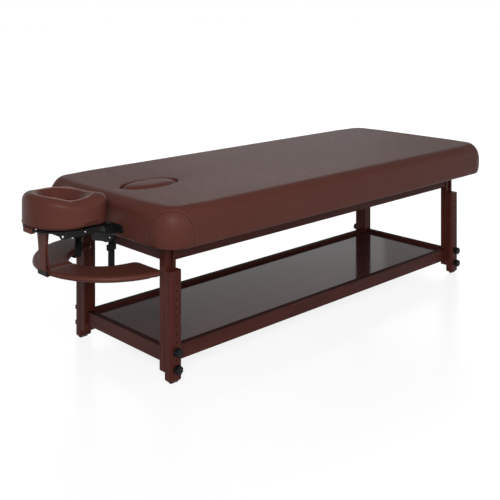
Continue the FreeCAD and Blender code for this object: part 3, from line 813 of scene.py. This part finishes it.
class TABLE_OT_face_cushion(bpy.types.Operator):
    """Carves the ring of the face cushion, with a piped ridge round its hole and a lower welt"""

    bl_idname = "table.face_cushion"
    bl_label = "Face cushion"

    def execute(self, context):
        low, high = box("face_cushion")
        bm = foam_copy("face_cushion", sizes().voxel)
        relax(bm, 2)
        swell(bm, 4.0, sizes().swell)
        self.shape_rim(bm, low, high)
        rest_flat(bm, low.z + 0.0003)
        bmesh.ops.recalc_face_normals(bm, faces=bm.faces)
        ridge = self.ridge(bm, low, high)
        obj = piece("face_padding", bm, "face_cushion", vinyl(), 80.0)
        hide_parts("face_cushion")
        # The ridge tube is painted light: a painted highlight along the ridge.
        tube("face_piping", [ridge], 0.0011, "face_cushion", piping_vinyl(), closed=True)
        lines = slice_lines(obj, low.z + 0.0065)
        # The lower welt is darkened: painted shade along the cushion's foot.
        tube("face_lower_welt", lines, 0.0018, "face_cushion", seam_vinyl())
        return {"FINISHED"}

    def shape_rim(self, bm, low, high):
        """Dips the rim at the cheeks, lifts the near lobe at the table, lowers the far one and the head."""
        cheek_x = low.x + 0.41 * (high.x - low.x)
        head_drop = 0.004
        for v in bm.verts:
            upper = ease((v.co.z - low.z - 0.045) / 0.04)
            side = ease(abs(v.co.y) / (0.8 * high.y))
            away = v.co.x - cheek_x
            cheek = max(0.0, 1 - abs(away) / (0.10 if away > 0 else 0.06)) ** 1.3 * side
            lobe = ease((away - 0.06) / 0.05) * side
            head = ease((low.x + 0.06 - v.co.x) / 0.06) * side
            dip, lift = (0.009, 0.006) if v.co.y < 0 else (0.002, -0.004)
            v.co.z += upper * (lift * lobe - dip * cheek - head_drop * head)

    def ridge(self, bm, low, high):
        """The line round the hole where the bowl meets the top."""
        tree = BVHTree.FromBMesh(bm)
        middle = (low + high) / 2
        points = []
        for step in range(120):
            turn = 2 * math.pi * step / 120
            out = Vector((math.cos(turn), math.sin(turn), 0.0))
            hits = []
            for reach in range(40, 150, 2):
                spot = middle + out * reach * 0.001
                spot.z = high.z + 0.05
                hit = tree.ray_cast(spot, Vector((0.0, 0.0, -1.0)))[0]
                if hit is not None:
                    hits.append(hit)
            top = max(hit.z for hit in hits)
            points.append(next(hit for hit in hits if hit.z > top - 0.0012))
        for _ in range(4):
            around = zip(points[-1:] + points[:-1], points, points[1:] + points[:1])
            points = [(before + point * 2 + after) / 4 for before, point, after in around]
        return points


class TABLE_OT_armrest_pads(bpy.types.Operator):
    """Carves the two padded wings of the armrest with their welts"""

    bl_idname = "table.armrest_pads"
    bl_label = "Armrest wings"

    def execute(self, context):
        welts = []
        for side in ("near", "far"):
            node = "armrest_pad_" + side
            low = box(node)[0]
            bm = foam_copy(node, sizes().voxel)
            relax(bm, 2)
            swell(bm, 3.0, sizes().swell / 2)
            rest_flat(bm, low.z + 0.0002)
            bmesh.ops.recalc_face_normals(bm, faces=bm.faces)
            obj = piece("wing_padding_" + side, bm, "armrest", vinyl(), 80.0)
            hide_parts(node)
            welts += slice_lines(obj, low.z + 0.0045)
        # The wing welts are darkened: painted shade along the wings' lower edges.
        tube("wing_welts", welts, 0.0012, "armrest", seam_vinyl())
        return {"FINISHED"}


# Straps


def strip(name, stations, thickness, body, material):
    """A flat strap through stations of (left edge point, right edge point)."""
    bm = bmesh.new()
    across = 6
    first = [bm.verts.new(stations[0][0].lerp(stations[0][1], i / across)) for i in range(across + 1)]
    edges = [bm.edges.new(pair) for pair in zip(first, first[1:])]
    for (old_left, old_right), (left, right) in zip(stations, stations[1:]):
        edges, verts = ring_on(bm, edges)
        width = (old_right - old_left).length
        for v in verts:
            share = (v.co - old_left).length / width
            v.co = left.lerp(right, share)
    bmesh.ops.recalc_face_normals(bm, faces=bm.faces)
    obj = piece(name, bm, body, material, 50.0)
    wall = obj.modifiers.new("Thickness", "SOLIDIFY")
    wall.thickness = thickness
    wall.offset = 0.0
    return obj


class TABLE_OT_straps(bpy.types.Operator):
    """Makes the waisted vinyl strap and the two webbing straps of the armrest"""

    bl_idname = "table.straps"
    bl_label = "Armrest straps"

    def execute(self, context):
        low, high = box("armrest_strap")
        rod_low, rod_high = box("tie_rod")
        rod = (rod_low + rod_high) / 2
        arm_top = box("armrest_pad_near")[1].z
        thickness, bend = 0.0022, 0.003
        radius = (rod_high.z - rod_low.z) / 2 + 0.0016
        front = low.x + thickness / 2
        back = high.x - thickness / 2
        base = box("armrest_pad_near")[0].z - 0.0013
        slot_half = (high.y - low.y) / 2 - 0.001

        def half(z):
            waist, top_flare, foot_flare = 0.021, 0.014, 0.006
            share = (z - base) / (rod.z - base)
            flare = top_flare * max(0.0, (share - 0.35) / 0.65) ** 1.8
            return waist + flare + foot_flare * max(0.0, 1 - 2 * share) ** 2

        def lean(z):
            return max(0.0, (z - arm_top) / (rod.z - arm_top))

        path = []
        for step in range(15):
            z = base + bend + (rod.z - base - bend) * step / 14
            path.append((front + (rod.x - radius - front) * lean(z), z, half(z)))
        for step in range(1, 8):
            angle = math.pi * (1 - step / 8)
            path.append((rod.x + radius * math.cos(angle), rod.z + radius * math.sin(angle), half(rod.z)))
        for step in range(15):
            z = rod.z - (rod.z - base - bend) * step / 14
            pinch = 0.006 * math.sin(math.pi * lean(z))
            path.append((back + (rod.x + radius - back) * lean(z) - pinch, z, min(half(z), slot_half)))
        path.append((back - bend, base, slot_half))
        path.append((front + bend, base, half(base)))
        path.append(path[0])
        stations = [(Vector((x, w, z)), Vector((x, -w, z))) for x, z, w in path]
        strap = strip("arm_strap", stations, thickness, "armrest", strap_vinyl())
        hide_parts("armrest_strap")
        self.head_tab()
        for side in ("near", "far"):
            self.web(side)
        return {"FINISHED"}

    def web(self, side):
        """One webbing strap: a loop that stays on its peg, and a run from the buckle to the wing.

        The loop narrows into the buckle, so that it has room there when the platform tilts."""
        layer, grip, pinch, taper, bend = 0.0007, 0.004, 0.0032, 0.0075, 0.004
        low, high = box("web_strap_" + side)
        buckle_low, buckle_high = box("web_buckle_" + side)
        y = (buckle_low.y + buckle_high.y) / 2
        outer, tail = (high.y, low.y) if side == "near" else (low.y, high.y)
        reach = abs(outer - y)
        peg = high.z - reach
        top = buckle_high.z
        loop = [(y - layer, top - grip, pinch), (y - layer, top + taper, 0.0)]
        for step in range(21):
            turn = math.radians(230 - 14 * step)
            spot = Vector((math.cos(turn), math.sin(turn))) * (reach - 0.0013)
            loop.append((y + spot.x, peg + spot.y, 0.0))
        loop += [(y + layer, top + taper, 0.0), (y + layer, top - grip, pinch)]
        run = [(y, buckle_low.z + 0.006, 0.0)]
        heading = math.copysign(bend, tail - y)
        for step in range(6):
            turn = math.pi / 2 * step / 5
            run.append((y + heading * (1 - math.cos(turn)), low.z + 0.005 - bend * math.sin(turn), 0.0))
        run.append((tail, low.z + 0.001, 0.0))
        loop, run = (
            [(Vector((low.x + d, a, b)), Vector((high.x - d, a, b))) for a, b, d in line]
            for line in (loop, run)
        )
        upper = strip("web_loop_" + side, loop, 0.0010, None, webbing())
        settle(upper)
        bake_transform(upper)
        lower = strip("web_run_" + side, run, 0.0020, "armrest", webbing())
        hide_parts("web_strap_" + side)

    def head_tab(self):
        """The folded end of the strap, wrapped round the head rim of the platform."""
        low = box("cradle_platform")[0]
        rest = box("face_cushion")[0].z
        span = Vector((0.020, 0.052, 0.018))
        middle = Vector((low.x + 0.005, 0.006, rest - 0.0005 - span.z / 2))
        bm = bmesh.new()
        bmesh.ops.create_cube(bm, size=1.0, matrix=Matrix.Translation(middle) @ Matrix.Diagonal((*span, 1.0)))
        bevel(bm, bm.edges[:], 0.0058, 5)
        piece("strap_tab", bm, "cradle_platform", strap_vinyl())


# Finishes of the rigid pieces


def coat_nodes(looks):
    """Gives each CAD node the finish that goes with the start of its name."""
    for name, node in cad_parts.items():
        for starts, material in looks:
            if name.startswith(starts):
                node.data.materials[0] = material


class TABLE_OT_wood(bpy.types.Operator):
    """Stains the legs, boards and shelf"""

    bl_idname = "table.wood"
    bl_label = "Wood"

    def execute(self, context):
        # edge darkens the rails' upward faces: painted shade.
        tone, edge = 0.85, 0.45
        long_way = ("apron_near", "apron_far", "shelf_rail_near", "shelf_rail_far")
        cross_way = ("apron_head", "apron_foot", "shelf_rail_head", "shelf_rail_foot")
        coat_nodes(
            (
                ("leg_", finish("wood_upright", wood_finish, 2)),
                (long_way, finish("wood_long", wood_finish, 0, tone, edge)),
                (cross_way, finish("wood_cross", wood_finish, 1, tone, edge)),
                (("deck_panel", "top_rail", "brace"), finish("plywood", plywood_finish)),
                ("shelf_panel", finish("shelf_lacquer", shelf_finish)),
            )
        )
        return {"FINISHED"}


class TABLE_OT_hardware(bpy.types.Operator):
    """Finishes the knobs, brackets, rods, buckles and glides, and adds the rivets"""

    bl_idname = "table.hardware"
    bl_label = "Hardware"

    def execute(self, context):
        coat = finish("black_metal", coated_finish, 1.0, 0.38)
        plastic = ("upper_knob", "lower_knob", "rod_socket", "strap_clasp", "web_buckle")
        metal = ("cradle_platform", "cradle_bracket", "outrigger_rod", "hinge_shaft", "tie_rod")
        coat_nodes(
            (
                (plastic, black_plastic()),
                (metal, coat),
                ("cam_lever", finish("lever_coat", coated_finish, 2.4, 0.36)),
                ("armrest_board", finish("board_paint", coated_finish, 2.0, 0.6)),
                ("hook_pad", finish("hook_tape", fuzz_finish, 1.6)),
                ("foot_glide", finish("felt", fuzz_finish, 3.0)),
            )
        )
        self.rivets()
        self.rolled_rim(coat)
        return {"FINISHED"}

    def rivets(self):
        """Bright heads of the rods, the flanges' rivets and the lever's pin."""
        tie_low, tie_high = box("tie_rod")
        shaft_low, shaft_high = box("hinge_shaft")
        lever_low = box("cam_lever")[0]
        tie = (tie_low + tie_high) / 2
        shaft = (shaft_low + shaft_high) / 2
        rivet_pitch, head_rise = 0.083, 0.0011
        heads = []
        for side, outer in ((-1, tie_low.y), (1, tie_high.y)):
            heads.append(("tie_rod_head", Vector((tie.x, outer, tie.z)), 0.0042, side, "cradle_platform"))
            spot = Vector((tie.x + rivet_pitch, outer, tie.z + 0.0005))
            heads.append(("flange_rivet", spot, 0.003, side, "cradle_platform"))
        lever_pin = Vector((shaft.x, min(shaft_low.y, lever_low.y), shaft.z))
        heads.append(("lever_pin", lever_pin, 0.003, -1, "cradle_base"))
        for name, place, radius, side, body in heads:
            bm = bmesh.new()
            shape = Matrix.Translation(place) @ Matrix.Diagonal((radius, head_rise, radius, 1.0))
            bmesh.ops.create_uvsphere(bm, u_segments=20, v_segments=12, radius=1.0, matrix=shape)
            piece(name + ("_near" if side < 0 else "_far"), bm, body, steel())

    def rolled_rim(self, coat):
        """The rolled lower edge round the head of the platform."""
        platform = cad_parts["cradle_platform"]
        low = box("cradle_platform")[0]
        rest = box("hook_pad")[0].z
        reach, drop = 0.11, 0.0042
        outline = max(slice_lines(platform, rest - 0.0015), key=len)
        start = outline.index(max(outline, key=lambda point: point.x))
        outline = outline[start:] + outline[1:start]
        rim = [Vector((p.x, p.y, rest - drop)) for p in outline if p.x < low.x + reach]
        tube("platform_rim", [rim], 0.0022, "cradle_platform", coat)


# The studio


class TABLE_OT_stage(bpy.types.Operator):
    """Lays the floor, sets the lights and places the camera"""

    bl_idname = "table.stage"
    bl_label = "Studio"

    def execute(self, context):
        scene = context.scene
        scene.view_settings.view_transform = "Standard"
        self.lay_floor(scene)
        self.light(scene)
        self.aim(scene)
        return {"FINISHED"}

    def lay_floor(self, scene):
        bm = bmesh.new()
        bmesh.ops.create_grid(bm, x_segments=1, y_segments=1, size=30.0)
        mesh = bpy.data.meshes.new("studio_floor")
        bm.to_mesh(mesh)
        bm.free()
        f = Finish("studio_floor")
        f.set(Roughness=0.25, Specular_IOR_Level=0.5)
        f.shader.inputs["Base Color"].default_value = (*colours().floor, 1.0)
        seen = self.direct_rays(f.tree)
        bright = f.add("ShaderNodeMath", {0: seen, 1: 0.84}, operation="MULTIPLY").outputs[0]
        glow = f.add("ShaderNodeEmission", {"Color": (1.0, 1.0, 1.0, 1.0), "Strength": bright})
        both = f.add("ShaderNodeAddShader", {0: f.shader.outputs[0], 1: glow.outputs[0]})
        f.tree.links.new(both.outputs[0], f.tree.nodes["Material Output"].inputs["Surface"])
        mesh.materials.append(f.material)
        floor = bpy.data.objects.new("studio_floor", mesh)
        scene.collection.objects.link(floor)

    def direct_rays(self, tree):
        """1 where the camera sees the studio itself, a mirrored or a refracted view of it, and else 0."""
        path = tree.nodes.new("ShaderNodeLightPath")
        found = path.outputs["Is Camera Ray"]
        for kind in ("Is Glossy Ray", "Is Transmission Ray"):
            either = tree.nodes.new("ShaderNodeMath")
            either.operation = "MAXIMUM"
            tree.links.new(found, either.inputs[0])
            tree.links.new(path.outputs[kind], either.inputs[1])
            found = either.outputs[0]
        return found

    def light(self, scene):
        """A white backdrop that darkens upwards in reflections, and three soft lamps."""
        world = bpy.data.worlds.new("studio")
        scene.world = world
        world.use_nodes = True
        tree = world.node_tree
        sky = tree.nodes["Background"]
        sky.inputs["Color"].default_value = (1.0, 1.0, 1.0, 1.0)
        across = tree.nodes.new("ShaderNodeSeparateXYZ")
        tree.links.new(tree.nodes.new("ShaderNodeTexCoord").outputs["Generated"], across.inputs[0])
        ceiling = tree.nodes.new("ShaderNodeMapRange")
        for key, value in (("From Min", 0.14), ("From Max", 0.36), ("To Min", 1.0), ("To Max", 0.42)):
            ceiling.inputs[key].default_value = value
        tree.links.new(across.outputs["Z"], ceiling.inputs["Value"])
        camera = tree.nodes.new("ShaderNodeLightPath").outputs["Is Camera Ray"]
        backdrop = tree.nodes.new("ShaderNodeMath")
        backdrop.operation = "MAXIMUM"
        tree.links.new(camera, backdrop.inputs[0])
        tree.links.new(ceiling.outputs["Result"], backdrop.inputs[1])
        level = tree.nodes.new("ShaderNodeMapRange")
        level.inputs["To Min"].default_value = 0.24
        tree.links.new(self.direct_rays(tree), level.inputs["Value"])
        tree.links.new(backdrop.outputs[0], level.inputs["To Max"])
        tree.links.new(level.outputs["Result"], sky.inputs["Strength"])
        for name, place, target, size, power in (
            ("key", (-3.1, -2.8, 2.3), (-0.2, 0.0, 0.4), 1.6, 125.0),
            ("fill", (-0.3, -4.2, 1.6), (0.0, 0.0, 0.4), 2.0, 34.0),
            ("back", (4.2, 4.0, 2.7), (0.3, 0.0, 0.6), 2.4, 9.0),
        ):
            lamp = bpy.data.lights.new(name, "AREA")
            lamp.size = size
            lamp.energy = power
            holder = bpy.data.objects.new(name, lamp)
            holder.location = place
            holder.rotation_mode = "QUATERNION"
            holder.rotation_quaternion = (Vector(target) - Vector(place)).to_track_quat("-Z", "Y")
            scene.collection.objects.link(holder)

    def aim(self, scene):
        """The uprights of the picture are parallel: a level camera whose lens is dropped.

        A sheared mount makes the drop, and the lens itself stays plain for every other view."""
        eye = (-2.44468, -2.45444, 1.2469)
        heading, drop, focal = 0.80372, 0.29134, 61.661
        level = Vector((math.cos(heading), math.sin(heading), 0.0))
        across = Vector((math.sin(heading), -math.cos(heading), 0.0))
        up = Vector((0.0, 0.0, 1.0))
        stretch = math.hypot(1.0, drop)
        back = (up * drop - level) / stretch
        high, deep = up + back, back - up
        mount = bpy.data.objects.new("camera_mount", None)
        mount.location = eye
        mount.rotation_mode = "QUATERNION"
        turn = Matrix((across, high.normalized(), deep.normalized())).transposed()
        mount.rotation_quaternion = turn.to_quaternion()
        mount.scale = (1.0, high.length / math.sqrt(2), deep.length / math.sqrt(2))
        lens = bpy.data.cameras.new("camera")
        lens.sensor_fit = "HORIZONTAL"
        lens.sensor_width = 36.0
        lens.lens = focal * stretch
        lens.dof.use_dof = False
        lens.clip_end = 100.0
        camera = bpy.data.objects.new("camera", lens)
        camera.parent = mount
        camera.rotation_euler = (-math.pi / 4, 0.0, 0.0)
        scene.collection.objects.link(mount)
        scene.collection.objects.link(camera)
        scene.camera = camera


class TABLE_PT_panel(bpy.types.Panel):
    """Lists the steps that dress the table"""

    bl_idname = "TABLE_PT_panel"
    bl_label = "Massage Table"
    bl_space_type = "VIEW_3D"
    bl_region_type = "UI"
    bl_category = "Massage Table"

    def draw(self, context):
        layout = self.layout
        for group in (context.scene.table_sizes, context.scene.table_colours):
            section = layout.box()
            for key in group.bl_rna.properties.keys():
                if key not in ("rna_type", "name"):
                    section.prop(group, key)
        for step in STEPS:
            layout.operator(step.bl_idname)


STEPS = (
    TABLE_OT_stage,
    TABLE_OT_wood,
    TABLE_OT_hardware,
    TABLE_OT_top,
    TABLE_OT_top_sewing,
    TABLE_OT_plug,
    TABLE_OT_face_cushion,
    TABLE_OT_armrest_pads,
    TABLE_OT_straps,
)
CLASSES = (TableSizes, TableColours, *STEPS, TABLE_PT_panel)


def register():
    for kind in CLASSES:
        bpy.utils.register_class(kind)
    bpy.types.Scene.table_sizes = PointerProperty(type=TableSizes)
    bpy.types.Scene.table_colours = PointerProperty(type=TableColours)


def unregister():
    del bpy.types.Scene.table_colours
    del bpy.types.Scene.table_sizes
    for kind in reversed(CLASSES):
        bpy.utils.unregister_class(kind)


def main():
    register()
    bpy.ops.table.stage()
    bpy.ops.table.wood()
    bpy.ops.table.hardware()
    bpy.ops.table.padded_top()
    bpy.ops.table.top_sewing()
    bpy.ops.table.hole_plug()
    bpy.ops.table.face_cushion()
    bpy.ops.table.armrest_pads()
    bpy.ops.table.straps()


if __name__ == "__main__":
    main()
